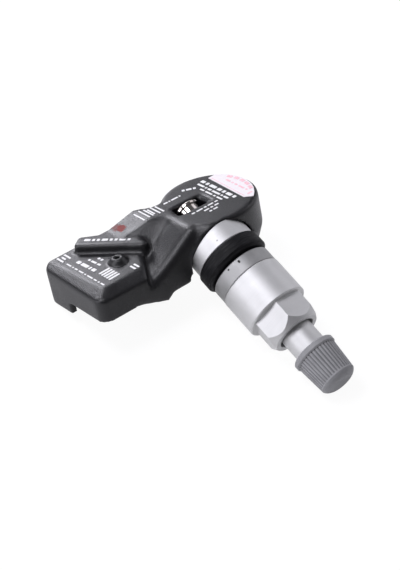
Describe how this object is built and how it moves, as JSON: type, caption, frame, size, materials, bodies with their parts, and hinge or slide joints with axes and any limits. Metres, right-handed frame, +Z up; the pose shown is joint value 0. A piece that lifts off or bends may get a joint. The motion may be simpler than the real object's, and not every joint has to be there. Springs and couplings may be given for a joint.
{
  "type": "tyre pressure sensor",
  "caption": "Tyre pressure sensor: dark moulded housing with a coin cell and radio board, on an angled aluminium clamp-in valve with rubber rim seal, washer, union nut and ribbed cap.",
  "frame": {"origin": "centre of the rim seat, where the seal's flange meets the wheel, on the valve axis", "axes": "+X follows the valve over the table, +Y the housing's length towards its round end, +Z up from the table that the sensor lies on"},
  "size_m": [0.0657, 0.0496, 0.0212],
  "materials": {
    "housing_plastic": "moulded, fine spark grain",
    "label_paper": "coated paper with pale red print",
    "nickel": "plated",
    "satin_aluminium": "satin, anodised",
    "washer_steel": "plain, dull",
    "seal_rubber": "moulded, matt",
    "core_brass": "turned",
    "spring_steel": "drawn wire",
    "cap_plastic": "moulded, ribbed",
    "cell_steel": "plated sheet",
    "board_laminate": "green solder resist",
    "chip_plastic": "moulded",
    "copper": "enamelled wire and tinned strip",
    "ferrite": "sintered",
    "potting_resin": "cast, slightly glossy"
  },
  "bodies": {
    "valve": {"valve_stem": "satin_aluminium", "rim_seal": "seal_rubber", "fixing_screw": "nickel", "core_body": "core_brass", "core_gasket": "seal_rubber", "core_spring": "spring_steel"},
    "housing": {"housing": "housing_plastic", "potting_compound": "potting_resin", "circuit_board": "board_laminate", "coin_cell": "cell_steel", "cell_tab_top": "cell_steel", "cell_tab_bottom": "cell_steel", "pressure_chip": "chip_plastic", "port_gasket": "seal_rubber", "controller_chip": "chip_plastic", "crystal": "cell_steel", "rf_antenna": "copper", "coil_core": "ferrite", "coil_winding": "copper", "label_sticker": "label_paper"},
    "washer": {"clamp_washer": "washer_steel"},
    "nut": {"union_nut": "satin_aluminium"},
    "cap_ring": {"cap_seal": "seal_rubber"},
    "cap": {"valve_cap": "cap_plastic"},
    "pin": {"core_pin": "core_brass", "core_cup": "core_brass"}
  },
  "joints": [
    {"name": "valve_angle", "type": "hinge", "parent": "valve", "child": "housing", "pos_m": [-0.03073, 0, 0.00644], "axis": [0, -1, 0], "range_deg": [0, 6]},
    {"name": "washer_slide", "type": "slide", "parent": "valve", "child": "washer", "axis": [0.9788, 0, -0.205], "range_m": [0, 0.0045]},
    {"name": "nut_turn", "type": "hinge", "parent": "washer", "child": "nut", "pos_m": [0, 0, 0], "axis": [0.9788, 0, -0.205], "range_deg": [0, 2160.5]},
    {"name": "cap_lift", "type": "slide", "parent": "valve", "child": "cap_ring", "axis": [0.9788, 0, -0.205], "range_m": [0, 0.00476]},
    {"name": "cap_turn", "type": "hinge", "parent": "cap_ring", "child": "cap", "pos_m": [0, 0, 0], "axis": [0.9788, 0, -0.205], "range_deg": [0, 2160.5]},
    {"name": "pin_press", "type": "slide", "parent": "valve", "child": "pin", "axis": [-0.9788, 0, 0.205], "range_m": [0, 0.001], "stiffness_N_per_m": 500, "springref_m": -0.0005, "deforming": ["core_spring"]}
  ],
  "couplings": [
    {"joint": "nut_turn", "follows": "washer_slide", "rad_per_m": 8377.6},
    {"joint": "cap_turn", "follows": "cap_lift", "rad_per_m": 7913.3}
  ]
}
